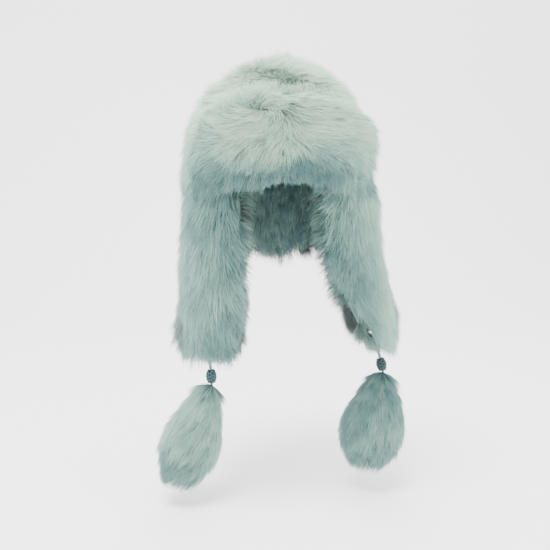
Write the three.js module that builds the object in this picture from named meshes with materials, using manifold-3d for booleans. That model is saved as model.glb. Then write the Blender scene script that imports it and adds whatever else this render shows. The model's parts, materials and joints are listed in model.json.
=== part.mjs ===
import * as THREE from 'three';
import { mergeVertices } from 'three/addons/utils/BufferGeometryUtils.js';
import Module from 'manifold-3d';

// Fur trapper hat with a turned-up brow flap, two long ear flaps, a neck flap and two pompoms.
// Millimetres, +Z up, the face looks along -Y and the wearer's right is -X.
// The origin is the middle of the head opening, at the lower edge of the sweatband.
// Each pelt is a closed solid out to the tips of its fur.

const wasm = await Module();
wasm.setup();

const { degToRad, lerp } = THREE.MathUtils;

// The head that the hat fits, 57 cm round.
const HEAD_X = 80;
const HEAD_Y = 100;
const HEAD_Z = 112;
const DOME_POWER = 2.2;
const GAP = 0.4;
const REACH = 600;
const ROUND_SIDES = 24;
const UP = new THREE.Vector3(0, 0, 1);

// Crown layers, as depths outward from the inside of the lining.
const LINING = [0, 2];
const PADDING = [LINING[1] + GAP, 7.4];
const PELT = [PADDING[1] + GAP, 48];
const SWEATBAND = [-3, -1];
const SWEATBAND_HEIGHT = 32;
const SEAM_X = 45;

// Brow flap: it turns forward and down about its lower front edge.
const BROW_BACKING = [17, 19];
const BROW_STIFFENER = [BROW_BACKING[1] + GAP, 20.9];
const BROW_PELT = [BROW_STIFFENER[1] + GAP, 56];
const BROW_HALF_ANGLE = 66;
const BROW_BOTTOM = 1;
const BROW_BLOCK_TOP = 100;
const BROW_RADIUS = 90;
const BROW_HINGE_Y = -(HEAD_Y + BROW_BACKING[1]);
const BROW_CLEARANCE = 0.8;

// Ear flaps and neck flap: their own layers, and how they hang.
const FLAP_TOP = -1.5;
const FLAP_LINING = [-18, 2.2];
const FLAP_PADDING = [FLAP_LINING[1] + 3 * GAP, 6.4];
const FLAP_PELT = [FLAP_PADDING[1] + 3 * GAP, 42];
const PADDING_MARGIN = 0.06;
const PADDING_END = 0.17;
const EAR_FLAPS = {
  left: {
    side: 1, length: 215, corner: 34, frontTop: 30, frontTip: 58, backTop: 127, backTip: 104,
    outTop: 8, outTip: 46, twist: 22,
  },
  right: {
    side: -1, length: 220, corner: 12, frontTop: 38, frontTip: 34, backTop: 127, backTip: 100,
    outTop: 1, outTip: 12, twist: 4,
  },
};
const NECK_FLAP = {
  side: 1, length: 92, corner: 26, frontTop: 129, frontTip: 140, backTop: 231, backTip: 220,
  outTop: 0, outTip: 0, twist: 0,
};

// Cords, knots and pompoms.
const CORD_DEPTH = (FLAP_PADDING[0] + FLAP_PADDING[1]) / 2;
const CORD_DIAMETER = 3.5;
const CORD_SIDES = 8;
const CORD_STEPS = 8;
const CORD_DROP = 2;
const LOOP_THICKNESS = 2.4;
const LOOP_HALF_WIDTH = 0.035;
const KNOT = { hole: 2.3, radius: 7, length: 18 };
const CORE = { neck: 2.6, radius: 12, start: 2.4, top: 22, bottom: 112 };
const TASSELS = {
  left: { route: [[0, 0, 0], [1.6, 0, -5], [3, 0, -10], [4.4, 0, -15.5], [6, 0, -22.5], [7.8, 0, -30.5]],
    length: 132, radius: 42, tilt: 10 },
  right: { route: [[0, 0, 0], [1, 0, -5], [1.8, 0, -10], [2.4, 0, -16], [2.9, 0, -23.5], [3.3, 0, -31.5]],
    length: 140, radius: 38, tilt: 19 },
};

const MATERIALS = {
  fur: new THREE.MeshStandardMaterial({ color: 0xb4c6bd, roughness: 0.9, metalness: 0 }),
  cheekFur: new THREE.MeshStandardMaterial({ color: 0x93a8a3, roughness: 0.9, metalness: 0 }),
  satin: new THREE.MeshStandardMaterial({ color: 0x7f9797, roughness: 0.45, metalness: 0 }),
  leather: new THREE.MeshStandardMaterial({ color: 0x9db0aa, roughness: 0.75, metalness: 0 }),
  batting: new THREE.MeshStandardMaterial({ color: 0xe6e6e0, roughness: 1, metalness: 0 }),
  cord: new THREE.MeshStandardMaterial({ color: 0x7c9799, roughness: 0.4, metalness: 0 }),
  knot: new THREE.MeshStandardMaterial({ color: 0x274447, roughness: 0.3, metalness: 0 }),
};

const hat = new THREE.Group();
hat.name = 'trapper_hat';

function addPiece(name, geometry, material) {
  const mesh = new THREE.Mesh(geometry, material);
  mesh.name = name;
  hat.add(mesh);
  return mesh;
}

// Only the positions, with shared vertices merged.
function welded(geometry) {
  geometry.deleteAttribute('normal');
  geometry.deleteAttribute('uv');
  return mergeVertices(geometry);
}

function toSolid(geometry) {
  const closed = welded(geometry);
  return new wasm.Manifold(new wasm.Mesh({
    numProp: 3,
    vertProperties: Float32Array.from(closed.getAttribute('position').array),
    triVerts: Uint32Array.from(closed.getIndex().array),
  }));
}

function toGeometry(solid) {
  const mesh = solid.getMesh();
  const geometry = new THREE.BufferGeometry();
  geometry.setAttribute('position', new THREE.BufferAttribute(mesh.vertProperties, 3));
  geometry.setIndex(new THREE.BufferAttribute(mesh.triVerts, 1));
  return geometry;
}

function moveVertices(geometry, place) {
  const position = geometry.getAttribute('position');
  const point = new THREE.Vector3();
  for (let i = 0; i < position.count; i += 1) {
    point.fromBufferAttribute(position, i);
    position.setXYZ(i, ...place(point));
  }
  return geometry;
}

// A box bent into a curved slab: place(along, up, out) takes numbers from 0 to 1.
function bentBox(columns, rows, place) {
  const box = new THREE.BoxGeometry(1, 1, 1, columns, rows, 1);
  return welded(moveVertices(box, (p) => place(p.x + 0.5, p.y + 0.5, p.z + 0.5)));
}

// The point at an angle round the head from the front, at a height and a depth.
function wallPoint(angle, z, depth) {
  const narrowing = z > 0 ? (1 - (z / (HEAD_Z + depth)) ** DOME_POWER) ** (1 / DOME_POWER) : 1;
  return [
    narrowing * (HEAD_X + depth) * Math.sin(degToRad(angle)),
    -narrowing * (HEAD_Y + depth) * Math.cos(degToRad(angle)),
    z,
  ];
}

// A whole rounded form, equal above and below the head opening.
function dome(depth) {
  const sphere = new THREE.SphereGeometry(1, ROUND_SIDES, 12).rotateX(Math.PI / 2);
  return toSolid(moveVertices(sphere, (p) => {
    const round = Math.hypot(p.x, p.y) ** DOME_POWER + Math.abs(p.z) ** DOME_POWER;
    const scale = round ** (-1 / DOME_POWER);
    return [(HEAD_X + depth) * p.x * scale, (HEAD_Y + depth) * p.y * scale, (HEAD_Z + depth) * p.z * scale];
  }));
}

function block(fromX, toX, fromZ, toZ) {
  const box = new THREE.BoxGeometry(toX - fromX, REACH, toZ - fromZ);
  return toSolid(box.translate((fromX + toX) / 2, 0, (fromZ + toZ) / 2));
}

function crownLayer([inner, outer]) {
  return dome(outer).subtract(dome(inner)).intersect(block(-REACH, REACH, 0, REACH));
}

// The slab that a layer of the brow flap is cut from, ended by a drum about its hinge line,
// so that the flap's top edge turns clear of the crown.
function browLayer([inner, outer], bottom, clearance) {
  const halfAngle = BROW_HALF_ANGLE + clearance / 2;
  const slab = bentBox(16, 5, (along, up, out) => wallPoint(
    lerp(-halfAngle, halfAngle, along),
    lerp(bottom, BROW_BLOCK_TOP, up),
    lerp(inner, outer, out),
  ));
  const radius = BROW_RADIUS + clearance;
  const drum = new THREE.CylinderGeometry(radius, radius, REACH, 40).rotateZ(Math.PI / 2);
  return toSolid(slab).intersect(toSolid(drum.translate(0, BROW_HINGE_Y, 0)));
}

function buildCrown() {
  const recess = browLayer([BROW_BACKING[0] - BROW_CLEARANCE, REACH], -5, BROW_CLEARANCE);
  const pelt = crownLayer(PELT).subtract(recess);
  const panels = {
    crown_pelt_centre: [-SEAM_X, SEAM_X],
    crown_pelt_left: [SEAM_X + GAP, REACH],
    crown_pelt_right: [-REACH, -SEAM_X - GAP],
  };
  for (const [name, [fromX, toX]] of Object.entries(panels)) {
    addPiece(name, toGeometry(pelt.intersect(block(fromX, toX, -REACH, REACH))), MATERIALS.fur);
  }
  addPiece('crown_padding', toGeometry(crownLayer(PADDING)), MATERIALS.batting);
  addPiece('crown_lining', toGeometry(crownLayer(LINING)), MATERIALS.satin);
}

// A band inside the lining. It is turned round and then stretched to the head's oval.
function buildSweatband() {
  const [inner, outer] = SWEATBAND.map((depth) => HEAD_X + depth);
  const corners = [[inner, 0], [outer, 0], [outer, SWEATBAND_HEIGHT], [inner, SWEATBAND_HEIGHT], [inner, 0]];
  const profile = corners.map(([radius, z]) => new THREE.Vector2(radius, z));
  const ring = new THREE.LatheGeometry(profile, ROUND_SIDES).rotateX(Math.PI / 2);
  const oval = moveVertices(ring, (p) => {
    const radius = Math.hypot(p.x, p.y);
    const narrowing = wallPoint(90, p.z, 0)[0] / HEAD_X;
    const stretch = narrowing * (radius + HEAD_Y - HEAD_X) / radius;
    return [narrowing * p.x, stretch * p.y, p.z];
  });
  addPiece('sweatband', welded(oval), MATERIALS.satin);
}

function buildBrowFlap() {
  const layers = {
    brow_flap_backing: [BROW_BACKING, MATERIALS.leather],
    brow_flap_stiffener: [BROW_STIFFENER, MATERIALS.batting],
    brow_flap_pelt: [BROW_PELT, MATERIALS.fur],
  };
  for (const [name, [depths, material]] of Object.entries(layers)) {
    addPiece(name, toGeometry(browLayer(depths, BROW_BOTTOM, 0)), material);
  }
}

// The point of a hanging flap: along its width, up its length and at a depth.
// Towards the tip the flap turns about its own middle and swings out from the head.
function flapPoint(flap, along, up, depth) {
  const drop = 1 - up;
  const across = flap.side > 0 ? along : 1 - along;
  const front = lerp(flap.frontTop, flap.frontTip, drop ** 2);
  const back = lerp(flap.backTop, flap.backTip, drop);
  const length = flap.length - flap.corner * Math.abs(2 * across - 1) ** 3;
  const z = FLAP_TOP - drop * length;
  const middle = new THREE.Vector3(...wallPoint(flap.side * lerp(front, back, 0.5), z, FLAP_PADDING[1]));
  const point = new THREE.Vector3(...wallPoint(flap.side * lerp(front, back, across), z, depth));
  const turn = -flap.side * degToRad(flap.twist) * Math.sin((Math.PI / 2) * drop);
  point.sub(middle).applyAxisAngle(UP, turn).add(middle);
  point.x += flap.side * lerp(flap.outTop, flap.outTip, drop ** 1.5);
  return point.toArray();
}

// How full the fur stands: less at the side edges and towards the tip.
function fullness(along, up) {
  return (1 - 0.5 * Math.abs(2 * along - 1) ** 6) * (1 - 0.35 * (1 - up) ** 4);
}

function buildFlap(name, flap) {
  const rows = Math.round(flap.length / 28);
  const columns = 10;
  const pelt = bentBox(columns, rows, (along, up, out) => {
    const depth = FLAP_PELT[0] + out * (FLAP_PELT[1] - FLAP_PELT[0]) * fullness(along, up);
    return flapPoint(flap, along, up, depth);
  });
  const lining = bentBox(columns, rows, (along, up, out) => {
    const depth = FLAP_LINING[1] - (1 - out) * (FLAP_LINING[1] - FLAP_LINING[0]) * fullness(along, up);
    return flapPoint(flap, along, up, depth);
  });
  const padding = bentBox(columns, rows, (along, up, out) => flapPoint(
    flap,
    lerp(PADDING_MARGIN, 1 - PADDING_MARGIN, along),
    lerp(PADDING_END, 1, up),
    lerp(FLAP_PADDING[0], FLAP_PADDING[1], out),
  ));
  addPiece(`${name}_pelt`, pelt, MATERIALS.fur);
  addPiece(`${name}_padding`, padding, MATERIALS.batting);
  addPiece(`${name}_lining`, lining, MATERIALS.cheekFur);
}

// The loop in the tip seam hangs between the two furs, and the cord leaves at its end.
function buildCordLoop(name, flap) {
  const loop = bentBox(1, 3, (along, up, out) => flapPoint(
    flap,
    lerp(0.5 - LOOP_HALF_WIDTH, 0.5 + LOOP_HALF_WIDTH, along),
    lerp(0, PADDING_END - 0.01, up),
    CORD_DEPTH + (out - 0.5) * LOOP_THICKNESS,
  ));
  addPiece(`cord_loop_${name}`, loop, MATERIALS.cord);
}

function turned(points, segments) {
  const profile = points.map(([radius, z]) => new THREE.Vector2(radius, z));
  return welded(new THREE.LatheGeometry(profile, segments).rotateX(Math.PI / 2));
}

function knotGeometry() {
  const points = [[KNOT.hole, -KNOT.length]];
  for (let i = 0; i <= 6; i += 1) {
    const bulge = 0.72 + 0.28 * Math.sin((Math.PI * i) / 6);
    points.push([KNOT.radius * bulge, KNOT.length * (i / 6 - 1)]);
  }
  points.push([KNOT.hole, 0], [KNOT.hole, -KNOT.length]);
  return turned(points, 12);
}

// The radius of the pompom's fur at a share of its length below the knot.
function pompomRadius(tassel, share) {
  return tassel.radius * Math.sin(Math.PI * share ** 1.15) ** 0.7;
}

function pompomPeltGeometry(tassel) {
  const steps = 11;
  const points = [[0, -tassel.length]];
  for (let i = steps - 1; i >= 1; i -= 1) {
    points.push([pompomRadius(tassel, i / steps), -tassel.length * (i / steps)]);
  }
  const hole = CORE.neck + GAP;
  points.push([hole, -tassel.length * 0.025], [hole, -CORE.top]);
  for (let i = 1; i <= 6; i += 1) {
    points.push([
      lerp(hole, CORE.radius + GAP, Math.sin((Math.PI * i) / 6)) * (i < 6 ? 1 : 0),
      lerp(-CORE.top, -CORE.bottom - GAP, i / 6),
    ]);
  }
  return turned(points, 16);
}

function pompomCoreGeometry() {
  const points = [[0, -CORE.bottom]];
  for (let i = 5; i >= 1; i -= 1) {
    points.push([
      lerp(CORE.neck, CORE.radius, Math.sin((Math.PI * i) / 6)),
      lerp(-CORE.top, -CORE.bottom, i / 6),
    ]);
  }
  points.push([CORE.neck, -CORE.top], [CORE.neck, -CORE.start], [0, -CORE.start]);
  return turned(points, 12);
}

function buildTassel(name, flap, tassel) {
  const exit = new THREE.Vector3(...flapPoint(flap, 0.5, 0, CORD_DEPTH));
  exit.z -= CORD_DROP;
  const route = tassel.route.map((offset) => new THREE.Vector3(...offset).add(exit));
  const section = new THREE.Shape();
  section.absarc(0, 0, CORD_DIAMETER / 2, 0, 2 * Math.PI);
  const cord = new THREE.ExtrudeGeometry(section, {
    steps: CORD_STEPS,
    curveSegments: CORD_SIDES / 2,
    bevelEnabled: false,
    extrudePath: new THREE.CatmullRomCurve3(route),
  });
  addPiece(`tie_cord_${name}`, welded(cord), MATERIALS.cord);

  const end = route.at(-1);
  const rise = route.at(-3).clone().sub(end).normalize();
  const knot = addPiece(`cord_knot_${name}`, knotGeometry(), MATERIALS.knot);
  knot.quaternion.setFromUnitVectors(UP, rise);
  knot.position.copy(end).addScaledVector(rise, KNOT.length);

  const pieces = [
    addPiece(`pompom_pelt_${name}`, pompomPeltGeometry(tassel), MATERIALS.fur),
    addPiece(`pompom_core_${name}`, pompomCoreGeometry(), MATERIALS.batting),
  ];
  for (const piece of pieces) {
    piece.position.copy(end).addScaledVector(rise, -GAP);
    piece.rotation.y = degToRad(tassel.tilt);
  }
}

buildCrown();
buildSweatband();
buildBrowFlap();
for (const [name, flap] of Object.entries(EAR_FLAPS)) {
  buildFlap(`ear_flap_${name}`, flap);
  buildCordLoop(name, flap);
  buildTassel(name, flap, TASSELS[name]);
}
buildFlap('neck_flap', NECK_FLAP);

export default hat;
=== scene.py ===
"""Fur trapper hat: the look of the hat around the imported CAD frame. Metres, +Z up."""
import json
import math

import bmesh
import bpy
import numpy as np
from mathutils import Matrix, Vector


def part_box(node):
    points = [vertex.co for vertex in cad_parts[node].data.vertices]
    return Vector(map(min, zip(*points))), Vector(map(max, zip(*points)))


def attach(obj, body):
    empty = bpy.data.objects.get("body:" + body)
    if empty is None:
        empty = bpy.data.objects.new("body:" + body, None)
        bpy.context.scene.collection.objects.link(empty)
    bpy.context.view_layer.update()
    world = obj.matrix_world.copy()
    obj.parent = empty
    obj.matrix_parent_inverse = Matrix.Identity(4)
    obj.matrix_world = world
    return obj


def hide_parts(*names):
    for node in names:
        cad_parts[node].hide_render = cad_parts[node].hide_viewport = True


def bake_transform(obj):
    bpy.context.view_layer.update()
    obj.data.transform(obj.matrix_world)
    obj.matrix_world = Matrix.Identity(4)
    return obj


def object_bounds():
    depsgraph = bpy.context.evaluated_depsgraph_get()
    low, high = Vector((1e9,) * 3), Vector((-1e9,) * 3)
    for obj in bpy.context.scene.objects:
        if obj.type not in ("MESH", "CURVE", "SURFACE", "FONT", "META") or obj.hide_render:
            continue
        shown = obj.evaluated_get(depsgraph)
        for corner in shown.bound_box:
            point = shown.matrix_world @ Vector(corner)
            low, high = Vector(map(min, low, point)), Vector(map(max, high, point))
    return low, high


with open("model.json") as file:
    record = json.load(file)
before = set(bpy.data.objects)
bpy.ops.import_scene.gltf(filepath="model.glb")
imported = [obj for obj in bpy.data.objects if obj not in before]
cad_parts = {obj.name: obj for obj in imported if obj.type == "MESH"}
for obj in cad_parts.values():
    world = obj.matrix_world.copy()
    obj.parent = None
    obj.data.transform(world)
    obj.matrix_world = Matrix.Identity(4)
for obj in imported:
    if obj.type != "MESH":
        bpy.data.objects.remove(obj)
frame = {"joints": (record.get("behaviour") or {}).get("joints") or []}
cad_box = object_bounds()

MM = 0.001
SIDES = ("left", "right")

# ---------------------------------------------------------------- camera, light and floor

CAMERA_AZIMUTH = -6
CAMERA_ELEVATION = 5
CAMERA_DISTANCE = 1.1
FIELD_WIDTH = 0.715
SENSOR = 36
LOOK_AT = Vector((-0.0026, 0, -0.123))

KEY_POWER = 135
FILL_POWER = 12
BACK_POWER = 30
ROOM_BRIGHTNESS = 2.7

FLOOR_GAP = 0.02
FLOOR_FRONT = -3.0
FLOOR_HALF_WIDTH = 4.0
SWEEP_START = 1.4
SWEEP_RADIUS = 1.0
SWEEP_STEPS = 12
WALL_TOP = 4.0


def make_camera():
    data = bpy.data.cameras.new("camera")
    data.sensor_width = SENSOR
    data.lens = SENSOR * CAMERA_DISTANCE / FIELD_WIDTH
    data.clip_start = 0.01
    camera = bpy.data.objects.new("camera", data)
    bpy.context.collection.objects.link(camera)
    azimuth = math.radians(CAMERA_AZIMUTH)
    elevation = math.radians(CAMERA_ELEVATION)
    towards = Vector((
        math.sin(azimuth) * math.cos(elevation),
        -math.cos(azimuth) * math.cos(elevation),
        math.sin(elevation),
    ))
    camera.location = LOOK_AT + towards * CAMERA_DISTANCE
    camera.rotation_euler = (-towards).to_track_quat("-Z", "Y").to_euler()
    bpy.context.scene.camera = camera


def add_light(name, location, target, size, power):
    data = bpy.data.lights.new(name, "AREA")
    data.shape = "DISK"
    data.size = size
    data.energy = power
    light = bpy.data.objects.new(name, data)
    light.location = location
    light.rotation_euler = (Vector(target) - Vector(location)).to_track_quat("-Z", "Y").to_euler()
    bpy.context.collection.objects.link(light)


def make_lights():
    middle = (0, 0, -0.1)
    add_light("key", (-0.5, -0.9, 2.0), middle, 1.4, KEY_POWER)
    add_light("fill", (1.5, -1.5, 0.4), middle, 1.4, FILL_POWER)
    add_light("back", (0.2, 1.6, 1.4), middle, 1.2, BACK_POWER)
    world = bpy.data.worlds.new("white_room")
    world.use_nodes = True
    background = world.node_tree.nodes["Background"]
    background.inputs["Color"].default_value = (1, 1, 1, 1)
    background.inputs["Strength"].default_value = ROOM_BRIGHTNESS
    bpy.context.scene.world = world


def make_floor():
    """A pale sweep: a floor that curves up into a wall far behind the hat."""
    low = cad_box[0][2] - FLOOR_GAP
    profile = [(FLOOR_FRONT, low)]
    for i in range(SWEEP_STEPS + 1):
        angle = math.pi / 2 * i / SWEEP_STEPS
        y = SWEEP_START + SWEEP_RADIUS * math.sin(angle)
        profile.append((y, low + SWEEP_RADIUS * (1 - math.cos(angle))))
    profile.append((SWEEP_START + SWEEP_RADIUS, WALL_TOP))
    rows = [[(-FLOOR_HALF_WIDTH, y, z), (FLOOR_HALF_WIDTH, y, z)] for y, z in profile]
    verts = [corner for row in rows for corner in row]
    faces = [(2 * i, 2 * i + 1, 2 * i + 3, 2 * i + 2) for i in range(len(rows) - 1)]
    mesh = bpy.data.meshes.new("floor")
    mesh.from_pydata(verts, [], faces)
    mesh.shade_smooth()
    material, shader = new_material("white_floor")
    shader.inputs["Base Color"].default_value = (0.93, 0.93, 0.93, 1)
    shader.inputs["Roughness"].default_value = 0.9
    mesh.materials.append(material)
    floor = bpy.data.objects.new("floor", mesh)
    bpy.context.collection.objects.link(floor)


# ---------------------------------------------------------------- materials


def new_material(name):
    material = bpy.data.materials.new(name)
    material.use_nodes = True
    return material, material.node_tree.nodes["Principled BSDF"]


def add_node(material, kind, **settings):
    node = material.node_tree.nodes.new(kind)
    for key, value in settings.items():
        setattr(node, key, value)
    return node


def link(material, output, socket):
    material.node_tree.links.new(output, socket)


def ramp_node(material, stops):
    node = add_node(material, "ShaderNodeValToRGB")
    elements = node.color_ramp.elements
    while len(elements) < len(stops):
        elements.new(0.5)
    for element, (place, colour) in zip(elements, stops):
        element.position = place
        element.color = (*colour, 1)
    return node


def fur_material(name, root, middle, tip, glow):
    """Colour runs along each strand, and each strand has its own tint."""
    material, shader = new_material(name)
    uv = add_node(material, "ShaderNodeUVMap", uv_map=STRAND_UV)
    split = add_node(material, "ShaderNodeSeparateXYZ")
    along = ramp_node(material, [(0.0, root), (0.45, middle), (1.0, tip)])
    tint = ramp_node(material, STRAND_TINTS)
    mix = add_node(material, "ShaderNodeMix", data_type="RGBA", blend_type="MULTIPLY")
    mix.inputs["Factor"].default_value = 1
    link(material, uv.outputs["UV"], split.inputs["Vector"])
    link(material, split.outputs["Y"], along.inputs["Fac"])
    link(material, split.outputs["X"], tint.inputs["Fac"])
    link(material, along.outputs["Color"], mix.inputs["A"])
    link(material, tint.outputs["Color"], mix.inputs["B"])
    link(material, mix.outputs["Result"], shader.inputs["Base Color"])
    shader.inputs["Roughness"].default_value = 0.62
    shader.inputs["Specular IOR Level"].default_value = 0.25
    shader.inputs["Sheen Weight"].default_value = 0.15
    translucent = add_node(material, "ShaderNodeBsdfTranslucent")
    blend = add_node(material, "ShaderNodeMixShader")
    blend.inputs["Fac"].default_value = glow
    link(material, mix.outputs["Result"], translucent.inputs["Color"])
    link(material, shader.outputs["BSDF"], blend.inputs[1])
    link(material, translucent.outputs["BSDF"], blend.inputs[2])
    output = material.node_tree.nodes["Material Output"]
    link(material, blend.outputs["Shader"], output.inputs["Surface"])
    return material


def cloth_material(name, dark, light, scale, roughness, sheen, bump):
    """Woven or napped cloth: a fine grain and slow variation between two colours."""
    material, shader = new_material(name)
    place = add_node(material, "ShaderNodeTexCoord")
    slow = add_node(material, "ShaderNodeTexNoise")
    slow.inputs["Scale"].default_value = 28
    slow.inputs["Detail"].default_value = 5
    fine = add_node(material, "ShaderNodeTexNoise")
    fine.inputs["Scale"].default_value = scale
    fine.inputs["Detail"].default_value = 3
    colour = ramp_node(material, [(0.3, dark), (0.7, light)])
    relief = add_node(material, "ShaderNodeBump")
    relief.inputs["Strength"].default_value = bump
    relief.inputs["Distance"].default_value = 0.0006
    link(material, place.outputs["Object"], slow.inputs["Vector"])
    link(material, place.outputs["Object"], fine.inputs["Vector"])
    link(material, slow.outputs["Fac"], colour.inputs["Fac"])
    link(material, colour.outputs["Color"], shader.inputs["Base Color"])
    link(material, fine.outputs["Fac"], relief.inputs["Height"])
    link(material, relief.outputs["Normal"], shader.inputs["Normal"])
    shader.inputs["Roughness"].default_value = roughness
    shader.inputs["Sheen Weight"].default_value = sheen
    return material


STRAND_UV = "OFBake"
STRAND_TINTS = [
    (0.0, (0.22, 0.34, 0.39)),
    (0.25, (0.50, 0.64, 0.67)),
    (0.5, (0.76, 0.87, 0.86)),
    (1.0, (1.0, 1.0, 0.90)),
]

make_camera()

# Fur takes its root, middle and tip colours. Cloth takes its darkest and lightest colours.
MATERIALS = {
    "fur": fur_material("mint_fur", (0.13, 0.22, 0.21), (0.40, 0.56, 0.49), (0.74, 0.98, 0.82), 0.35),
    # The cheek fur's darker root, middle and tip colours are painted shade on the flaps' inner side.
    "cheek": fur_material("cheek_fur", (0.09, 0.15, 0.16), (0.30, 0.42, 0.40), (0.54, 0.70, 0.65), 0.3),
    # The undercoat stands for the dense short fur. Its dark colours are painted shade deep in the fur.
    "under": cloth_material("undercoat_painted_depth_shade", (0.05, 0.10, 0.095), (0.10, 0.17, 0.16), 900, 1.0, 0.0, 0.8),
    "satin": cloth_material("quilted_satin", (0.10, 0.16, 0.17), (0.15, 0.22, 0.23), 1600, 0.38, 0.2, 0.15),
    "band": cloth_material("ribbed_band", (0.07, 0.11, 0.12), (0.10, 0.15, 0.16), 1500, 0.55, 0.2, 0.4),
    "suede": cloth_material("suede_backing", (0.09, 0.14, 0.135), (0.14, 0.20, 0.19), 1200, 0.95, 0.05,
                            0.6),
    "batting": cloth_material("white_batting", (0.42, 0.42, 0.40), (0.52, 0.52, 0.49), 500, 1.0, 0.0, 0.8),
    "cord": cloth_material("satin_cord", (0.08, 0.15, 0.17), (0.17, 0.26, 0.28), 2400, 0.35, 0.2, 0.2),
    # The knot's near-black satin is partly its own darker teal and partly painted shade in its creases.
    "knot": cloth_material("knot_satin", (0.004, 0.022, 0.025), (0.02, 0.07, 0.075), 2400, 0.22, 0.1, 0.15),
}

# ---------------------------------------------------------------- shape of the hat

lining_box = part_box("crown_lining")
LINING_THICKNESS = 2 * MM
HEAD_X = lining_box[1][0] - LINING_THICKNESS
HEAD_Y = lining_box[1][1] - LINING_THICKNESS
HEAD_Z = lining_box[1][2] - LINING_THICKNESS
DOME_POWER = 2.2

CROWN_SKIN = 8 * MM
SEAM_X = 45 * MM
BROW_HALF_ANGLE = 66
BROW_SKIN = 21.5 * MM
BROW_SUEDE = (17 * MM, 19 * MM)
BROW_RADIUS = 90 * MM
BROW_HINGE_Y = -(HEAD_Y + 19 * MM)
BROW_SEAM_DEPTH = 19.8 * MM

FLAP_TOP = -1.5 * MM
FLAP_SKIN = 7.6 * MM
FLAP_MIDDLE = 6.4 * MM
FLAP_UNDERCOAT = 15 * MM
CHEEK_SKIN = 2.2 * MM
CHEEK_UNDERCOAT = 9 * MM
SEAM_DEPTH = 4.9 * MM
SEAM_RADIUS = 3.3 * MM
BEND_HIGH = 6 * MM
BEND_LOW = -9 * MM
BEND_DEPTH = (10 * MM, 21 * MM)
FLAPS = {
    "ear_flap_left": dict(side=1, length=215 * MM, corner=34 * MM, front=(30, 58), back=(127, 104),
                          out=(8 * MM, 46 * MM), twist=22, settle=0.42),
    "ear_flap_right": dict(side=-1, length=220 * MM, corner=12 * MM, front=(38, 34), back=(127, 100),
                           out=(1 * MM, 12 * MM), twist=4, settle=0.70),
    "neck_flap": dict(side=1, length=92 * MM, corner=26 * MM, front=(129, 140), back=(231, 220),
                      out=(0, 0), twist=0, settle=0.42),
}


def lerp(a, b, t):
    return a + (b - a) * t


def unit(vectors):
    return vectors / np.maximum(np.linalg.norm(vectors, axis=-1, keepdims=True), 1e-9)


def wall(angle, z, depth):
    """Points at an angle round the head from the front (degrees), at a height and a depth."""
    inside = np.clip(z / (HEAD_Z + depth), 0, 1)
    narrowing = (1 - inside ** DOME_POWER) ** (1 / DOME_POWER)
    turn = np.radians(angle)
    x = narrowing * (HEAD_X + depth) * np.sin(turn)
    y = -narrowing * (HEAD_Y + depth) * np.cos(turn)
    return np.stack(np.broadcast_arrays(x, y, z), axis=-1)


def dome(direction, depth):
    """Points of the crown along unit directions from the middle of the head opening."""
    flat = np.hypot(direction[..., 0], direction[..., 1])
    scale = (flat ** DOME_POWER + np.abs(direction[..., 2]) ** DOME_POWER) ** (-1 / DOME_POWER)
    size = np.stack([HEAD_X + depth, HEAD_Y + depth, HEAD_Z + depth], axis=-1)
    return direction * scale[..., None] * size


def flap_point(flap, along, up, depth):
    """Points of a hanging flap: 0 to 1 along its width, 0 to 1 up its length, at a depth."""
    side = flap["side"]
    along, up, depth = np.broadcast_arrays(along, up, depth)
    drop = 1 - up
    across = along if side > 0 else 1 - along
    front = lerp(*flap["front"], drop ** 2)
    back = lerp(*flap["back"], drop)
    z = FLAP_TOP - drop * (flap["length"] - flap["corner"] * np.abs(2 * across - 1) ** 3)
    middle = wall(side * lerp(front, back, 0.5), z, np.full_like(z, FLAP_MIDDLE))
    point = wall(side * lerp(front, back, across), z, depth)
    turn = -side * math.radians(flap["twist"]) * np.sin(math.pi / 2 * drop)
    offset = point - middle
    x = offset[..., 0] * np.cos(turn) - offset[..., 1] * np.sin(turn)
    y = offset[..., 0] * np.sin(turn) + offset[..., 1] * np.cos(turn)
    x = middle[..., 0] + x + side * lerp(*flap["out"], drop ** 1.5)
    return np.stack([x, middle[..., 1] + y, z], axis=-1)


def smooth_path(points, count):
    """A Catmull-Rom curve through the points, at even steps of its parameter."""
    points = np.asarray(points, dtype=float)
    padded = np.concatenate([[2 * points[0] - points[1]], points, [2 * points[-1] - points[-2]]])
    place = np.linspace(0, len(points) - 1, count)
    segment = np.minimum(place.astype(int), len(points) - 2)
    t = (place - segment)[:, None]
    p0, p1, p2, p3 = (padded[segment + k] for k in range(4))
    return 0.5 * (2 * p1 + (p2 - p0) * t + (2 * p0 - 5 * p1 + 4 * p2 - p3) * t ** 2
                  + (3 * p1 - p0 - 3 * p2 + p3) * t ** 3)


def waves(points, size, seed):
    """Smooth random numbers, about -1 to 1, that change over a distance of about size."""
    rng = np.random.default_rng(seed)
    total = np.zeros(points.shape[:-1])
    for _ in range(9):
        direction = unit(rng.normal(size=3)) * rng.uniform(0.6, 1.6) * 2 * math.pi / size / 2
        total += np.sin(points @ direction + rng.uniform(0, 2 * math.pi))
    return total / 3


# ---------------------------------------------------------------- building meshes


def add_piece(name, mesh, body, material, replaces=()):
    piece = bpy.data.objects.new(name, mesh)
    bpy.context.collection.objects.link(piece)
    mesh.materials.append(MATERIALS[material])
    if body:
        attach(piece, body)
    if replaces:
        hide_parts(*replaces)
    return piece


def mesh_from_arrays(name, verts, faces):
    mesh = bpy.data.meshes.new(name)
    corners = faces.shape[1]
    mesh.vertices.add(len(verts))
    mesh.vertices.foreach_set("co", verts.astype(np.float32).ravel())
    mesh.loops.add(faces.size)
    mesh.loops.foreach_set("vertex_index", faces.astype(np.int32).ravel())
    mesh.polygons.add(len(faces))
    mesh.polygons.foreach_set("loop_start", np.arange(len(faces), dtype=np.int32) * corners)
    mesh.update(calc_edges=True)
    mesh.validate()
    return mesh


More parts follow.
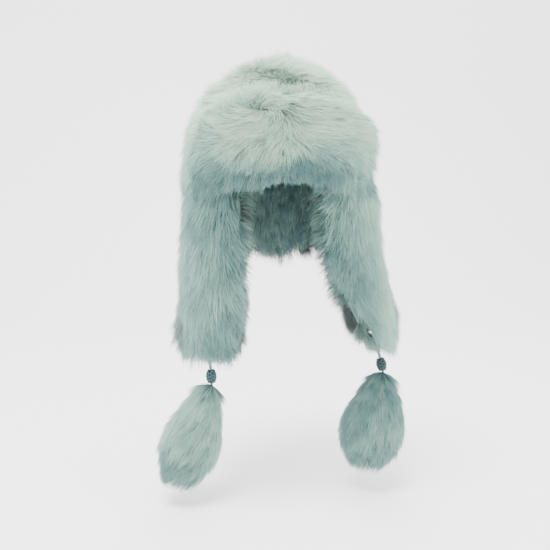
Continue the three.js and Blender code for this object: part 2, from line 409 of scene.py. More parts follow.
def grid_faces(columns, rows, start, flip):
    i, j = np.meshgrid(np.arange(columns), np.arange(rows), indexing="ij")
    a = start + i * (rows + 1) + j
    faces = np.stack([a, a + rows + 1, a + rows + 2, a + 1], axis=-1).reshape(-1, 4)
    return faces[:, ::-1] if flip else faces


def slab(name, columns, rows, place):
    """A closed curved slab: place(along, up, out) with numbers from 0 to 1, out 0 inside and 1 outside."""
    along, up = np.meshgrid(np.linspace(0, 1, columns + 1), np.linspace(0, 1, rows + 1), indexing="ij")
    inner = place(along, up, 0).reshape(-1, 3)
    outer = place(along, up, 1).reshape(-1, 3)
    count = len(inner)
    index = np.arange(count).reshape(columns + 1, rows + 1)
    rim = np.concatenate([index[:-1, 0], index[-1, :-1], index[:0:-1, -1], index[0, :0:-1]])
    after = np.roll(rim, -1)
    walls = np.stack([rim, after, after + count, rim + count], axis=-1)
    faces = np.concatenate([
        grid_faces(columns, rows, 0, True),
        grid_faces(columns, rows, count, False),
        walls,
    ])
    mesh = mesh_from_arrays(name, np.concatenate([inner, outer]), faces)
    mesh.shade_smooth()
    return mesh


def bowl(name, columns, rows, place):
    """A closed dome-shaped shell: place(direction, out) for unit directions with z from 0 to 1."""
    turn, rise = np.meshgrid(
        np.linspace(0, 2 * math.pi, columns + 1), np.linspace(0, math.pi / 2, rows + 1), indexing="ij")
    direction = np.stack([np.cos(rise) * np.cos(turn), np.cos(rise) * np.sin(turn), np.sin(rise)], axis=-1)
    inner = place(direction, 0).reshape(-1, 3)
    outer = place(direction, 1).reshape(-1, 3)
    count = len(inner)
    rim = np.arange(columns) * (rows + 1)
    after = rim + rows + 1
    faces = np.concatenate([
        grid_faces(columns, rows, 0, True),
        grid_faces(columns, rows, count, False),
        np.stack([rim, after, after + count, rim + count], axis=-1),
    ])
    mesh = mesh_from_arrays(name, np.concatenate([inner, outer]), faces)
    weld(mesh)
    mesh.shade_smooth()
    return mesh


def weld(mesh, distance=1e-6):
    work = bmesh.new()
    work.from_mesh(mesh)
    bmesh.ops.remove_doubles(work, verts=work.verts, dist=distance)
    bmesh.ops.recalc_face_normals(work, faces=work.faces)
    work.to_mesh(mesh)
    work.free()


def tube(name, path, radius, sides, closed=False):
    """A round tube through the points of a path, with its ends capped."""
    path = np.asarray(path, dtype=float)
    count = len(path)
    if closed:
        tangent = unit(np.roll(path, -1, axis=0) - np.roll(path, 1, axis=0))
    else:
        tangent = unit(np.gradient(path, axis=0))
    side = np.zeros_like(path)
    side[0] = unit(np.cross(tangent[0], [0.31, 0.77, 0.55]))
    for i in range(1, count):
        side[i] = unit(side[i - 1] - tangent[i] * np.dot(side[i - 1], tangent[i]))
    other = np.cross(tangent, side)
    angle = np.linspace(0, 2 * math.pi, sides, endpoint=False)
    ring = np.cos(angle)[None, :, None] * side[:, None] + np.sin(angle)[None, :, None] * other[:, None]
    radius = np.broadcast_to(np.asarray(radius, dtype=float), (count,))
    verts = (path[:, None] + ring * radius[:, None, None]).reshape(-1, 3)
    faces = []
    spans = count if closed else count - 1
    for i in range(spans):
        for j in range(sides):
            a, b = i * sides + j, i * sides + (j + 1) % sides
            c, d = ((i + 1) % count) * sides + (j + 1) % sides, ((i + 1) % count) * sides + j
            faces.append((a, b, c, d))
    if not closed:
        faces.append(tuple(range(sides - 1, -1, -1)))
        faces.append(tuple(range((count - 1) * sides, count * sides)))
    mesh = bpy.data.meshes.new(name)
    mesh.from_pydata(verts.tolist(), [], faces)
    mesh.shade_smooth()
    return mesh


# ---------------------------------------------------------------- fur

STRAND_BENDS = 3
STRAND_SIDES = 3
STRANDS_PER_PIECE = 11500
SOFTNESS = 0.6
DENSITY = 1.0
STEP = 0.5 * MM  # how far apart two depths are when their difference gives the outward direction


def strand_mesh(name, root, out, first, last, length, width, tint):
    """Tapered strands with three sides, each bent from its first direction to its last."""
    count = len(root)
    knee = root + first * (0.5 * length)[:, None]
    tip = knee + last * (0.5 * length)[:, None]
    share = np.arange(STRAND_BENDS) / STRAND_BENDS
    s = share[None, :, None]
    path = root[:, None] * (1 - s) ** 2 + knee[:, None] * 2 * s * (1 - s) + tip[:, None] * s ** 2
    heading = unit(lerp(first[:, None], last[:, None], s))
    across = unit(np.cross(heading, out[:, None]))
    rise = np.cross(across, heading)
    angle = np.radians(90 + 360 / STRAND_SIDES * np.arange(STRAND_SIDES))
    ring = (np.cos(angle)[None, None, :, None] * across[:, :, None]
            + np.sin(angle)[None, None, :, None] * rise[:, :, None])
    radius = (0.5 * width)[:, None] * (1 - share[None]) ** 0.75
    rings = path[:, :, None] + ring * radius[:, :, None, None]
    per_strand = STRAND_BENDS * STRAND_SIDES + 1
    verts = np.concatenate([rings.reshape(count, -1, 3), tip[:, None]], axis=1)

    soft = unit(SOFTNESS * out[:, None, None] + (1 - SOFTNESS) * ring)
    tip_normal = unit(out + 0.3 * last)
    normals = np.concatenate([soft.reshape(count, -1, 3), tip_normal[:, None]], axis=1)

    faces = []
    for i in range(STRAND_BENDS):
        for j in range(STRAND_SIDES):
            a = i * STRAND_SIDES + j
            b = i * STRAND_SIDES + (j + 1) % STRAND_SIDES
            if i < STRAND_BENDS - 1:
                faces += [(a, b + STRAND_SIDES, b), (a, a + STRAND_SIDES, b + STRAND_SIDES)]
            else:
                faces.append((b, a, per_strand - 1))
    faces.append(tuple(range(STRAND_SIDES)))
    faces = np.array(faces)
    every = (np.arange(count)[:, None, None] * per_strand + faces[None]).reshape(-1, 3)
    mesh = mesh_from_arrays(name, verts.reshape(-1, 3), every)

    spread = np.array([-0.012, 0.0, 0.012])
    u = np.concatenate([np.tile(spread, STRAND_BENDS), [0.0]])[None] + tint[:, None]
    v = np.concatenate([np.repeat(share, STRAND_SIDES), [1.0]])[None].repeat(count, axis=0)
    corner_uv = np.stack([np.clip(u, 0.01, 0.99), v * 0.98 + 0.01], axis=-1).reshape(-1, 2)[every.ravel()]
    mesh.uv_layers.new(name=STRAND_UV)
    mesh.uv_layers[STRAND_UV].uv.foreach_set("vector", corner_uv.astype(np.float32).ravel())
    mesh.shade_smooth()
    mesh.normals_split_custom_set_from_vertices(normals.reshape(-1, 3).tolist())
    return mesh


def comb(out, flow, lie):
    """The first and last directions of strands that stand up (lie 0) or lie flat (lie 1)."""
    first = unit(out * (1 - 0.55 * lie) + flow * (0.30 + 0.65 * lie))
    last = unit(out * (0.55 - 0.50 * lie) + flow)
    return first, last


def grow(name, body, material, surface, clumps, per_clump, spread, length, width, seed,
         clumping=0.55, keep=None):
    """Grow fur in clumps. surface(a, b) describes the skin at parameters from 0 to 1.

    spread is how far a clump's strands stand apart in a and b. clumping is how far their tips
    are drawn together. keep, where given, says which roots are kept.
    """
    clumps = int(clumps * DENSITY)
    rng = np.random.default_rng(seed)
    a = rng.uniform(0, 1, clumps)
    b = rng.uniform(0, 1, clumps)
    middle = surface(a, b)
    sway = rng.normal(0, 0.17, (clumps, 3))
    clump_length = length * middle["reach"] * rng.uniform(0.78, 1.0, clumps)
    clump_tint = rng.normal(0, 0.075, clumps)
    clump_first, clump_last = comb(middle["out"], unit(middle["flow"] + sway), middle["lie"][:, None])
    clump_tip = middle["root"] + (clump_first + clump_last) * 0.5 * clump_length[:, None]

    pick = np.repeat(np.arange(clumps), per_clump)
    count = len(pick)
    skin = surface(
        np.clip(a[pick] + rng.normal(0, spread[0], count), 0, 1),
        np.clip(b[pick] + rng.normal(0, spread[1], count), 0, 1))
    root, out = skin["root"], skin["out"]
    lie = np.clip(skin["lie"] + rng.normal(0, 0.08, count), 0, 1)[:, None]
    flow = unit(skin["flow"] + sway[pick] + rng.normal(0, 0.09, (count, 3)))
    flow = unit(flow - out * np.sum(flow * out, axis=1, keepdims=True))
    first, last = comb(out, flow, lie)
    reach = clump_length[pick] * rng.uniform(0.78, 1.05, count)
    knee = root + first * 0.5 * reach[:, None]
    tip = knee + last * 0.5 * reach[:, None]
    pull = clumping * rng.uniform(0.3, 1.0, count)[:, None]
    last = unit(lerp(tip, clump_tip[pick], pull) - knee)
    slow = 0.10 * waves(root, 0.05, seed + 1) + 0.05 * waves(root, 0.016, seed + 2)
    tint = skin["tint"] + slow + clump_tint[pick] + rng.normal(0, 0.09, count)
    tint = np.clip(tint, 0.02, 0.98)
    thick = width * rng.uniform(0.6, 1.25, count)
    chosen = np.ones(count, dtype=bool) if keep is None else keep(root)
    parts = [part[chosen] for part in (root, out, first, last, reach, thick, tint)]
    pieces = max(1, math.ceil(len(parts[0]) / STRANDS_PER_PIECE))
    for i, index in enumerate(np.array_split(np.arange(len(parts[0])), pieces)):
        mesh = strand_mesh(f"{name}_{i + 1}", *[part[index] for part in parts])
        add_piece(f"{name}_{i + 1}", mesh, body, material)


def tufts(points, size, seed):
    """A smooth random vector at each point, which turns the fur in tufts of about size."""
    return np.stack([waves(points, size, seed + k) for k in range(3)], axis=-1)


def skin_of(root, out, flow, lie, reach, tint):
    """What fur needs to know of the skin at each root: where it is and how the fur lies."""
    flow = unit(flow - out * np.sum(flow * out, axis=1, keepdims=True))
    full = np.ones(len(root))
    return {"root": root, "out": out, "flow": flow, "lie": full * lie, "reach": full * reach,
            "tint": full * tint}


# ---------------------------------------------------------------- crown

CROWN_TOP_Y = 8 * MM


def crown_directions(a, b):
    """Unit directions, a round the crown and b up to its top, spread evenly."""
    turn = a * 2 * math.pi
    flat = np.sqrt(np.clip(1 - b ** 2, 0, 1))
    return np.stack([flat * np.cos(turn), flat * np.sin(turn), b], axis=-1)


def in_brow_recess(point):
    """Whether a point is where the brow flap rests against the crown."""
    angle = np.degrees(np.arctan2(point[..., 0] / HEAD_X, -point[..., 1] / HEAD_Y))
    drum = np.hypot(point[..., 1] - BROW_HINGE_Y, point[..., 2])
    return (np.abs(angle) < BROW_HALF_ANGLE) & (drum < BROW_RADIUS + 2 * MM)


def crown_surface(a, b):
    """Long fur that spreads from a whorl on top and parts along the two seams of the crown."""
    direction = crown_directions(a, b)
    depth = np.full(a.shape, CROWN_SKIN + 9 * MM)
    root = dome(direction, depth)
    out = unit(dome(direction, depth + STEP) - root)
    flow = (root - np.array([0, CROWN_TOP_Y, 0])) * np.array([1, 1, 0]) / 0.06
    flow[:, 2] -= 0.6
    flow += 0.55 * tufts(root, 0.06, 3)
    seam = np.abs(root[:, 0]) - SEAM_X
    flow[:, 0] += 1.2 * np.sign(root[:, 0]) * np.sign(seam) * np.exp(-(seam / (6 * MM)) ** 2)
    height = np.clip(root[:, 2] / 0.13, 0, 1)
    whorl = np.clip(np.hypot(root[:, 0], root[:, 1] - CROWN_TOP_Y) / (50 * MM), 0.1, 1)
    lie = lerp(0.50, 0.42, height) * whorl + 0.10 * waves(root, 0.04, 6)
    reach = lerp(1.0, 0.86, height)
    # Darker low on the crown and paler towards its top: partly the fur's own paler top, partly painted
    # light from above.
    tint = lerp(0.26, 0.96, np.clip(root[:, 2] / 0.07, 0, 1))
    return skin_of(root, out, flow, lie, reach, tint)


def crown_underfur_surface(a, b):
    """Short fur that stands up and fills the partings between the long tufts."""
    skin = crown_surface(a, b)
    skin["lie"] = skin["lie"] * 0.3
    return skin


def crown_recess_surface(a, b):
    """Short flat fur where the brow flap rests against the crown."""
    direction = crown_directions(lerp(0.54, 0.96, a), b * 0.75)
    depth = np.full(a.shape, CROWN_SKIN + 6 * MM)
    root = dome(direction, depth)
    out = unit(dome(direction, depth + STEP) - root)
    flow = np.array([0, 0, -1.0]) + 0.5 * tufts(root, 0.05, 8)
    return skin_of(root, out, flow, lie=1.0, reach=1.0, tint=0.45)


def crown_undercoat(direction, out):
    """The dense short fur under the crown's long fur: a bumpy shell, thin behind the brow flap."""
    skin = dome(direction, np.full(direction.shape[:-1], CROWN_SKIN))
    if out == 0:
        return skin
    bumps = waves(skin, 0.022, 11)
    depth = CROWN_SKIN + 13 * MM + 3.0 * MM * bumps
    trial = dome(direction, depth)
    low = in_brow_recess(trial)
    depth = np.where(low, CROWN_SKIN + 7 * MM, depth)
    return dome(direction, depth)


def make_crown():
    def bare_crown(low):
        return lambda root: ~in_brow_recess(root) & (root[:, 2] > low)

    def recess(root):
        return in_brow_recess(root) & (root[:, 2] > 1 * MM)

    mesh = bowl("crown_undercoat", 120, 44, crown_undercoat)
    add_piece("crown_undercoat", mesh, "crown", "under",
              ["crown_pelt_centre", "crown_pelt_left", "crown_pelt_right"])
    grow("crown_fur", "crown", "fur", crown_surface, clumps=3200, per_clump=20,
         spread=(0.011, 0.018), length=50 * MM, width=1.0 * MM, seed=21, keep=bare_crown(1 * MM))
    grow("crown_underfur", "crown", "fur", crown_underfur_surface, clumps=2600, per_clump=9,
         spread=(0.010, 0.016), length=30 * MM, width=1.1 * MM, seed=27, clumping=0.2,
         keep=bare_crown(30 * MM))
    grow("crown_recess_fur", "crown", "fur", crown_recess_surface, clumps=500, per_clump=18,
         spread=(0.010, 0.020), length=13 * MM, width=1.0 * MM, seed=29, clumping=0.3, keep=recess)


# ---------------------------------------------------------------- brow flap

BROW_BOTTOM = 1 * MM
CREASE_Z = 34 * MM


def brow_top(angle, depth):
    """The height at which the drum about the hinge line cuts the brow flap."""
    z = np.full(np.shape(angle), 60 * MM)
    for _ in range(12):
        y = wall(angle, z, depth)[..., 1] - BROW_HINGE_Y
        z = 0.5 * z + 0.5 * np.sqrt(np.clip(BROW_RADIUS ** 2 - y ** 2, 1e-6, None))
    return z


def brow_point(angle, up, depth):
    """Points of the brow flap: an angle from the front, 0 to 1 up its height, at a depth."""
    return wall(angle, lerp(BROW_BOTTOM, brow_top(angle, depth), up), depth)


def brow_surface(a, b):
    """The roll's fur sweeps to the wearer's left. Below the crease a fringe hangs in an arch."""
    angle = lerp(-BROW_HALF_ANGLE + 3, BROW_HALF_ANGLE - 3, a)
    sides = np.clip((np.abs(angle) - 16) / 26, 0, 1)
    up = lerp(lerp(0.05, 0.01, sides), 0.97, b)
    depth = np.full(a.shape, BROW_SKIN + 9 * MM)
    root = brow_point(angle, up, depth)
    out = unit(brow_point(angle, up, depth + STEP) - root)
    top = np.clip((up - 0.7) / 0.3, 0, 1)
    out = unit(out + np.array([0, 0, 0.8]) * (top ** 2)[:, None])
    above = np.clip((root[:, 2] - CREASE_Z) / (14 * MM), -1, 1)
    roll = 0.5 + 0.5 * above
    outward = np.sin(np.radians(angle))
    swept = np.stack([0.7 * outward + 0.55, 0 * a, 0.30 * above - 0.10 - 0.35 * sides], axis=-1)
    hanging = np.stack([0.3 * outward, 0 * a, np.full(a.shape, -1.0)], axis=-1)
    flow = lerp(hanging, swept, roll[:, None]) + 0.35 * tufts(root, 0.05, 31)
    lie = lerp(0.78, 0.30, roll) + 0.12 * waves(root, 0.035, 34)
    reach = lerp(lerp(0.58, 1.0, sides), 1.0, roll) * (1 - 0.16 * np.clip(outward, 0, 1))
    # Below the crease the tint drops: painted shade under the brow roll, a little lighter at the sides.
    tint = lerp(lerp(0.0, 0.14, sides), 0.78, roll)
    return skin_of(root, out, flow, lie, reach, tint)


def brow_undercoat(along, up, out):
    """The dense short fur under the brow flap's long fur, thinner towards its edges."""
    angle = lerp(-BROW_HALF_ANGLE + 1, BROW_HALF_ANGLE - 1, along)
    skin = np.full(along.shape, BROW_SKIN)
    point = brow_point(angle, up, skin)
    if out == 0:
        return point
    edge = 1 - 0.75 * np.abs(2 * along - 1) ** 8
    top = 1 - 0.6 * np.abs(2 * up - 1) ** 6
    depth = BROW_SKIN + (12 * MM + 2 * MM * waves(point, 0.020, 35)) * edge * top
    return brow_point(angle, up, depth)


def brow_seam_point(outline):
    """A point on the seam round the brow flap, and its angle, at a share of the way round."""
    corners = [(0.02, 0.5), (0.02, 0.06), (0.06, 0.012), (0.5, 0.012), (0.94, 0.012), (0.98, 0.06),
               (0.98, 0.5), (0.97, 0.93), (0.9, 0.985), (0.5, 0.985), (0.1, 0.985), (0.03, 0.93),
               (0.02, 0.5)]
    track = smooth_path(corners, 300)
    place = np.linspace(0, 1, 300)
    angle = lerp(-BROW_HALF_ANGLE, BROW_HALF_ANGLE, np.interp(outline, place, track[:, 0]))
    up = np.interp(outline, place, track[:, 1])
    return brow_point(angle, up, np.full(angle.shape, BROW_SEAM_DEPTH)), angle


def brow_seam_root(outline, turn):
    """Roots on the brow seam, turned (radians) from straight outward to upward."""
    point, angle = brow_seam_point(outline)
    outward = unit(point * np.array([1, 1, 0]))
    out = unit(outward * np.cos(turn)[:, None] + np.array([0, 0, 1.0]) * np.sin(turn)[:, None])
    return point + out * SEAM_RADIUS * 0.9, out, outward, angle


def fringe_surface(a, b):
    """Fur along the lower seam of the brow flap, longer at its sides."""
    root, out, outward, angle = brow_seam_root(lerp(0.09, 0.41, a), lerp(-1.2, 0.5, b))
    flow = np.array([0, 0, -1.0]) + outward * 0.25 + 0.6 * tufts(root, 0.025, 51)
    sides = np.clip((np.abs(angle) - 12) / 24, 0, 1)
    reach = lerp(0.45, 1.6, sides)
    # The low tint is painted shade under the brow roll, a little lighter at the sides.
    tint = lerp(-0.1, 0.10, sides)
    return skin_of(root, out, flow, 0.7, reach, tint)


def brow_seam_surface(a, b):
    """Fur that stands out of the top and side seams of the brow flap."""
    root, out, outward, _ = brow_seam_root(lerp(0.5, 0.98, a), lerp(-0.2, 1.3, b))
    flow = outward * 0.45 + np.array([0, 0, 0.8]) + 0.4 * tufts(root, 0.03, 56)
    return skin_of(root, out, flow, lie=0.45, reach=1.3, tint=0.78)


def brow_suede(along, up, out):
    """The backing that faces the crown."""
    angle = lerp(-BROW_HALF_ANGLE, BROW_HALF_ANGLE, along)
    return brow_point(angle, up, np.full(along.shape, lerp(*BROW_SUEDE, out)))


def make_brow_flap():
    path = brow_seam_point(np.linspace(0, 1, 221)[:-1])[0]
    mesh = tube("brow_seam", path, SEAM_RADIUS, 12, closed=True)
    add_piece("brow_seam", mesh, "brow_flap", "under")
    grow("brow_fringe", "brow_flap", "fur", fringe_surface, clumps=260, per_clump=14,
         spread=(0.006, 0.15), length=27 * MM, width=0.9 * MM, seed=47, clumping=0.85)
    grow("brow_seam_fur", "brow_flap", "fur", brow_seam_surface, clumps=420, per_clump=14,
         spread=(0.006, 0.15), length=24 * MM, width=0.9 * MM, seed=53)
    mesh = slab("brow_undercoat", 110, 36, brow_undercoat)
    add_piece("brow_undercoat", mesh, "brow_flap", "under", ["brow_flap_pelt"])
    grow("brow_fur", "brow_flap", "fur", brow_surface, clumps=1350, per_clump=20,
         spread=(0.012, 0.026), length=44 * MM, width=1.0 * MM, seed=41)
    mesh = slab("brow_suede", 72, 24, brow_suede)
    add_piece("brow_suede", mesh, "brow_flap", "suede", ["brow_flap_backing"])


# ---------------------------------------------------------------- flaps


def flap_fullness(along, up):
    """How thick the undercoat is: full in the middle, thinner at the sides and the lower end."""
    return (1 - 0.5 * np.abs(2 * along - 1) ** 6) * (1 - 0.35 * (1 - up) ** 4)


def flap_surface(flap, skin, outside, height, lie_base, tint_base, seed):
    """Fur on one side of a flap, combed down, and forward over the edge beside the face."""
    sign = 1 if outside else -1

    def surface(a, b):
        along = lerp(0.05, 0.95, a)
        up = lerp(0.13, 1.0, b)
        depth = np.full(a.shape, skin + sign * height)
        root = flap_point(flap, along, up, depth)
        out = unit(flap_point(flap, along, up, depth + sign * STEP) - root)
        down = unit(flap_point(flap, along, up - 0.01, depth) - root)
        sideways = unit(flap_point(flap, along + 0.01, up, depth) - root)
        edge = 2 * along - 1
        wrap = np.sign(edge) * np.abs(edge) ** 5
        out = unit(out + sideways * wrap[:, None])
        towards_face = np.clip(-flap["side"] * edge - 0.35, 0, 1) * np.clip(2 * up - 0.3, 0, 1)
        lean = 0.22 * edge - 1.1 * flap["side"] * towards_face
        hang = lerp(down, np.array([0, 0, -1.0]), (0.85 * (1 - up))[:, None])
        flow = hang + sideways * lean[:, None] + 0.32 * tufts(root, 0.055, seed)
        lie = lie_base + flap["settle"] * (1 - up) ** 2 + 0.12 * waves(root, 0.05, seed + 3)
        reach = lerp(1.06, 1.0, up)
        tint = tint_base - 0.10 * np.abs(edge) ** 4 - 0.16 * np.clip(-flap["side"] * edge, 0, 1) + 0.10 * up
        return skin_of(root, out, flow, lie, reach, tint)

    return surface


def flap_undercoat(flap, skin, thickness, seed):
    """The dense short fur on the outside of a flap, from its skin outward."""
    def place(along, up, out):
        place_along = lerp(0.04, 0.96, along)
        place_up = lerp(0.10, 1.0, up)
        base = flap_point(flap, place_along, place_up, np.full(along.shape, skin))
        if out == 0:
            return base
        full = flap_fullness(along, up) * (1 - 0.7 * (2 * up - 1).clip(-1, 0) ** 6)
        depth = skin + thickness * full * (1 + 0.2 * waves(base, 0.020, seed))
        return flap_point(flap, place_along, place_up, depth)

    return place


def cheek_undercoat(flap, skin, thickness, seed):
    """The same slab on the head side: its outside is the smaller depth."""
    outer = flap_undercoat(flap, skin, -thickness, seed)
    return lambda along, up, out: outer(along, up, 1 - out)


def seam_point(flap, outline, depth):
    """Points on the seam round a flap's edge, from its front to its back, and its edge direction."""
    corners = [(0.03, 1.0), (0.03, 0.65), (0.03, 0.25), (0.045, 0.14), (0.14, 0.085), (0.5, 0.07),
               (0.86, 0.085), (0.955, 0.14), (0.97, 0.25), (0.97, 0.65), (0.97, 1.0)]
    track = smooth_path(corners, 200)
    place = np.linspace(0, 1, 200)
    along = np.interp(outline, place, track[:, 0])
    up = np.interp(outline, place, track[:, 1])
    point = flap_point(flap, along, up, np.full(along.shape, depth))
    wider_along = 0.5 + (along - 0.5) * 1.04
    wider_up = 0.5 + (up - 0.5) * 1.04
    beyond = flap_point(flap, wider_along, wider_up, np.full(along.shape, depth))
    return point, unit(beyond - point)


def seam_surface(flap, seed):
    """Fur that hangs from the seam and hides it."""
    def surface(a, b):
        point, edge = seam_point(flap, a, SEAM_DEPTH)
        deeper, _ = seam_point(flap, a, SEAM_DEPTH + STEP)
        lift = unit(deeper - point)
        turn = lerp(-1.4, 1.4, b)
        out = unit(edge * np.cos(turn)[:, None] + lift * np.sin(turn)[:, None])
        root = point + out * SEAM_RADIUS * 0.9
        flow = np.array([0, 0, -1.0]) + edge * 0.18 + 0.3 * tufts(root, 0.04, seed)
        return skin_of(root, out, flow, lie=0.62, reach=1.1, tint=0.26)

    return surface


def make_flap_bend(name, flap):
    """The skin that joins a flap to the crown."""
    def place(along, up, out):
        angle = flap["side"] * lerp(flap["front"][0] + 2, flap["back"][0] - 2, along)
        depth = np.full(along.shape, lerp(*BEND_DEPTH, out))
        return wall(angle, lerp(BEND_LOW, BEND_HIGH, up), depth)

    mesh = slab(f"{name}_bend", 48, 8, place)
    weld(mesh)
    piece = add_piece(f"{name}_bend", mesh, None, "under")
    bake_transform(piece)


def make_flap(name, clumps, tint, seed):
    flap = FLAPS[name]
    rows = int(flap["length"] / (4 * MM))
    shape = flap_undercoat(flap, FLAP_SKIN, FLAP_UNDERCOAT, seed)
    mesh = slab(f"{name}_undercoat", 44, rows, shape)
    add_piece(f"{name}_undercoat", mesh, name, "under", [f"{name}_pelt"])
    shape = cheek_undercoat(flap, CHEEK_SKIN, CHEEK_UNDERCOAT, seed + 1)
    mesh = slab(f"{name}_cheek_undercoat", 44, rows, shape)
    add_piece(f"{name}_cheek_undercoat", mesh, name, "under", [f"{name}_lining"])
    make_flap_bend(name, flap)
    path, _ = seam_point(flap, np.linspace(0, 1, 120), SEAM_DEPTH)
    add_piece(f"{name}_seam", tube(f"{name}_seam", path, SEAM_RADIUS, 12), name, "under")
    seam = seam_surface(flap, seed + 18)
    grow(f"{name}_seam_fur", name, "fur", seam, clumps=0.35 * clumps, per_clump=14,
         spread=(0.008, 0.12), length=27 * MM, width=0.95 * MM, seed=seed + 22)
    outer = flap_surface(flap, FLAP_SKIN, outside=True, height=12 * MM, lie_base=0.52, tint_base=tint,
                         seed=seed + 2)
    grow(f"{name}_fur", name, "fur", outer, clumps=clumps, per_clump=20,
         spread=(0.03, 0.020), length=51 * MM, width=1.0 * MM, seed=seed + 6)
    inner = flap_surface(flap, CHEEK_SKIN, outside=False, height=6 * MM, lie_base=0.62, tint_base=0.30,
                         seed=seed + 10)
    grow(f"{name}_cheek_fur", name, "cheek", inner, clumps=0.6 * clumps, per_clump=16,
         spread=(0.03, 0.022), length=27 * MM, width=0.95 * MM, seed=seed + 14)


# ---------------------------------------------------------------- pompoms, cords and knots

# The routes repeat the cords' points, in metres from where each cord leaves its loop.
CORD_DIAMETER = 3.5 * MM
CORD_DROP = 2 * MM
ROUTES = {
    "left": [[0, 0, 0], [0.0016, 0, -0.005], [0.003, 0, -0.010], [0.0044, 0, -0.0155], [0.006, 0, -0.0225],
             [0.0078, 0, -0.0305]],
    "right": [[0, 0, 0], [0.001, 0, -0.005], [0.0018, 0, -0.010], [0.0024, 0, -0.016], [0.0029, 0, -0.0235],
              [0.0033, 0, -0.0315]],
}
KNOT_LENGTH = 18 * MM
KNOT_RADIUS = 7 * MM
KNOT_STEM = 4 * MM
KNOT_WINDS = 5
KNOT_TURN = 1.5 * math.pi
KNOT_PLY = 1.25 * MM
CORD_TURNS = 4.5
TASSELS = {
    "left": dict(length=132 * MM, radius=42 * MM, tilt=10, tint=0.12, sweep=0.0),
    "right": dict(length=140 * MM, radius=38 * MM, tilt=19, tint=0.33, sweep=-0.22),
}


def joint_place(name):
    for joint in frame["joints"]:
        if joint["name"] == name:
            return np.array(joint["pos_m"])
    raise KeyError(name)


def cord_path(side):
    """The cord's line, from its loop in the flap's tip to the lower end of the knot."""
    start = joint_place(f"cord_{side}_swing") - np.array([0, 0, CORD_DROP])
    return smooth_path(start + np.array(ROUTES[side]), 28)


def frame_along(path):
    """The two directions across a path, at each of its points."""
    tangent = unit(np.gradient(path, axis=0))
    side = unit(np.cross(tangent, [0, 1, 0]))
    return side, np.cross(tangent, side)


def joined(name, meshes):
    """One mesh from several."""
    work = bmesh.new()
    for mesh in meshes:
        work.from_mesh(mesh)
    result = bpy.data.meshes.new(name)
    work.to_mesh(result)
    work.free()
    for mesh in meshes:
        bpy.data.meshes.remove(mesh)
    result.shade_smooth()
    return result


def make_cord(side):
    """Two satin plies twisted round each other."""
    path = cord_path(side)
    fine = smooth_path(path, 160)
    across, other = frame_along(fine)
    plies = []
    for ply in range(2):
        angle = np.linspace(0, 2 * math.pi * CORD_TURNS, len(fine)) + ply * math.pi
        ring = np.cos(angle)[:, None] * across + np.sin(angle)[:, None] * other
        plies.append(tube(f"ply_{ply}", fine + 0.33 * CORD_DIAMETER * ring, 0.31 * CORD_DIAMETER, 10))
    mesh = joined(f"satin_cord_{side}", plies)
    cord = add_piece(f"satin_cord_{side}", mesh, f"cord_{side}", "cord", [f"tie_cord_{side}"])
    return cord, path


def make_knot(side, path):
    """A woven knot: cords wind round a barrel both ways and pass over and under each other."""
    end = path[-1]
    rise = unit(path[-4] - path[-1])
    across = unit(np.cross(rise, [0, 1, 0]))
    other = np.cross(rise, across)
    strands = []
    t = np.linspace(0, 1, 40)
    bulge = 0.60 + 0.40 * np.sin(math.pi * t)
    centre = end + rise * lerp(KNOT_PLY, KNOT_LENGTH - KNOT_PLY, t)[:, None]
    for direction, phase in ((1, 0), (-1, math.pi)):
        weave = 0.5 * MM * np.cos(KNOT_WINDS * KNOT_TURN * t + phase)
        radius = (KNOT_RADIUS - 1.1 * KNOT_PLY) * bulge + weave
        for k in range(KNOT_WINDS):
            angle = direction * KNOT_TURN * t + 2 * math.pi * k / KNOT_WINDS
            ring = np.cos(angle)[:, None] * across + np.sin(angle)[:, None] * other
            strands.append(tube(f"wind_{direction}_{k}", centre + ring * radius[:, None], KNOT_PLY, 8))
    t = np.linspace(0, 1, 14)
    core = end + rise * lerp(0.6 * MM, KNOT_LENGTH - 0.6 * MM, t)[:, None]
    radius = (KNOT_RADIUS - 2.4 * KNOT_PLY) * (0.55 + 0.45 * np.sin(math.pi * t))
    strands.append(tube("knot_core", core, radius, 20))
    stem = end + rise * np.linspace(-KNOT_STEM, 2 * MM, 6)[:, None]
    strands.append(tube("knot_stem", stem, 1.4 * MM, 12))
    return add_piece(f"knot_{side}", joined(f"knot_{side}", strands), f"cord_{side}", "knot",
                     [f"cord_knot_{side}"])


def tilt_frame(side):
    """The pompom's pivot and its own across, fore-aft and up directions."""
    angle = math.radians(TASSELS[side]["tilt"])
    pivot = joint_place(f"pompom_{side}_swing")
    across = np.array([math.cos(angle), 0, -math.sin(angle)])
    up = np.array([math.sin(angle), 0, math.cos(angle)])
    return pivot, across, np.array([0.0, 1.0, 0.0]), up


def pompom_radius(tassel, share):
    """The pompom's outline: its radius at a share of the way down."""
    return tassel["radius"] * np.sin(math.pi * np.clip(share, 0, 1) ** 1.15) ** 0.62


def pompom_point(side, turn, down, radius):
    pivot, across, fore, up = tilt_frame(side)
    ring = np.cos(turn)[..., None] * across + np.sin(turn)[..., None] * fore
    return pivot + ring * radius[..., None] - up * down[..., None]


def pompom_skin(side, turn, share, inset):
    """Points a fixed depth inside the pompom's outline, and their outward directions."""
    tassel = TASSELS[side]
    _, across, fore, up = tilt_frame(side)
    profile = pompom_radius(tassel, share)
    radius = np.maximum(profile - inset, 0.25 * profile)
    point = pompom_point(side, turn, share * tassel["length"], radius)
    step = 0.01
    rise = pompom_radius(tassel, share + step) - pompom_radius(tassel, share - step)
    slope = rise / (2 * step * tassel["length"])
    ring = np.cos(turn)[..., None] * across + np.sin(turn)[..., None] * fore
    return point, unit(ring + up * np.clip(slope, -1.2, 1.2)[..., None])


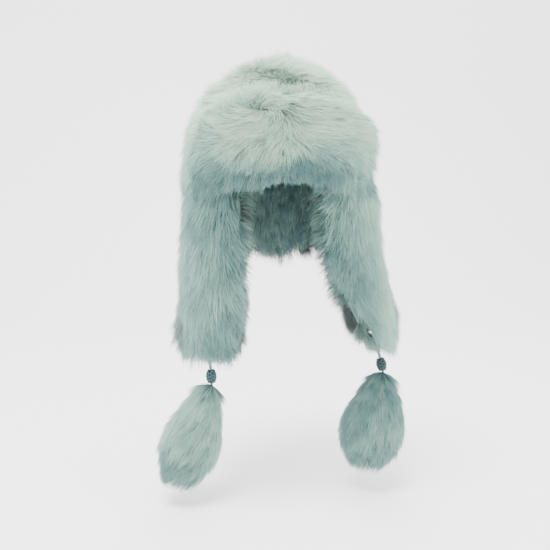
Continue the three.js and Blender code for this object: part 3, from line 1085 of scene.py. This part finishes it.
def pompom_surface(side, seed):
    """Sleek fur combed down the pompom. Near the knot it grows more sideways than up."""
    _, across, _, up = tilt_frame(side)

    def surface(a, b):
        turn = a * 2 * math.pi
        share = lerp(0.015, 0.82, b)
        root, out = pompom_skin(side, turn, share, 9 * MM)
        rise = np.maximum(np.sum(out * up, axis=1, keepdims=True), 0)
        out = unit(out - 0.45 * rise * up)
        flow = -up + across * TASSELS[side]["sweep"] + 0.14 * tufts(root, 0.05, seed)
        lie = lerp(0.74, 0.92, np.clip(share / 0.25, 0, 1)) + 0.05 * waves(root, 0.04, seed + 3)
        return skin_of(root, out, flow, lie, reach=1, tint=TASSELS[side]["tint"])

    return surface


def make_pompom(side, seed):
    def undercoat(along, up, out):
        turn = 2 * math.pi * along
        share = lerp(0.90, 0.03, up)
        point, outward = pompom_skin(side, turn, share, (8 if out else 22) * MM)
        bump = 1.2 * MM * waves(point, 0.02, seed) if out else 0 * turn
        return point + outward * bump[..., None]

    mesh = slab(f"pompom_{side}_undercoat", 64, 40, undercoat)
    weld(mesh)
    add_piece(f"pompom_{side}_undercoat", mesh, f"pompom_{side}", "under", [f"pompom_pelt_{side}"])
    grow(f"pompom_{side}_fur", f"pompom_{side}", "fur", pompom_surface(side, seed + 1),
         clumps=1000, per_clump=13, spread=(0.016, 0.018), length=34 * MM, width=1.0 * MM,
         seed=seed + 5, clumping=0.4)


# ---------------------------------------------------------------- lining and sweatband


def make_lining():
    """Satin lining quilted in diamonds."""
    def place(direction, out):
        skin = dome(direction, np.zeros(direction.shape[:-1]))
        turn = np.arctan2(direction[..., 1], direction[..., 0])
        rise = np.arcsin(np.clip(direction[..., 2], -1, 1))
        fade = np.clip((math.pi / 2 - rise) / 0.3, 0, 1)
        one = np.abs(np.sin(8 * turn + 9 * rise))
        two = np.abs(np.sin(8 * turn - 9 * rise))
        puff = np.minimum(one, two) ** 0.6 * fade
        depth = 1.9 * MM if out else -1.2 * MM * puff + 0.3 * MM
        return dome(direction, np.broadcast_to(depth, skin.shape[:-1]).copy())

    mesh = bowl("quilted_lining", 192, 72, place)
    add_piece("quilted_lining", mesh, "crown", "satin", ["crown_lining"])


def make_sweatband():
    """A band with fine ribs that run round the head."""
    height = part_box("sweatband")[1][2]

    def place(along, up, out):
        ribs = 0.18 * MM * np.cos(up * 60)
        depth = -1.0 * MM if out else -2.6 * MM + ribs
        return wall(360 * along, up * height, np.broadcast_to(depth, along.shape))

    mesh = slab("grosgrain_band", 120, 40, place)
    weld(mesh)
    add_piece("grosgrain_band", mesh, "crown", "band", ["sweatband"])


def dress_hidden_nodes():
    """Looks for the CAD nodes that stay in the model, most of them out of sight."""
    hidden = {
        "crown_padding": "batting", "brow_flap_stiffener": "batting", "neck_flap_padding": "batting",
        "ear_flap_left_padding": "batting", "ear_flap_right_padding": "batting",
        "pompom_core_left": "under", "pompom_core_right": "under",
        "cord_loop_left": "cord", "cord_loop_right": "cord",
    }
    for node, look in hidden.items():
        for item in bpy.data.objects[node].material_slots:
            item.material = MATERIALS[look]


cords = {side: make_cord(side) for side in SIDES}
knots = {side: make_knot(side, cords[side][1]) for side in SIDES}

make_lights()
make_floor()
make_lining()
make_sweatband()
make_crown()
make_brow_flap()
make_flap("ear_flap_left", clumps=900, tint=0.34, seed=100)
make_flap("ear_flap_right", clumps=900, tint=0.19, seed=130)
make_flap("neck_flap", clumps=380, tint=0.25, seed=160)
make_pompom("left", seed=190)
make_pompom("right", seed=210)
dress_hidden_nodes()
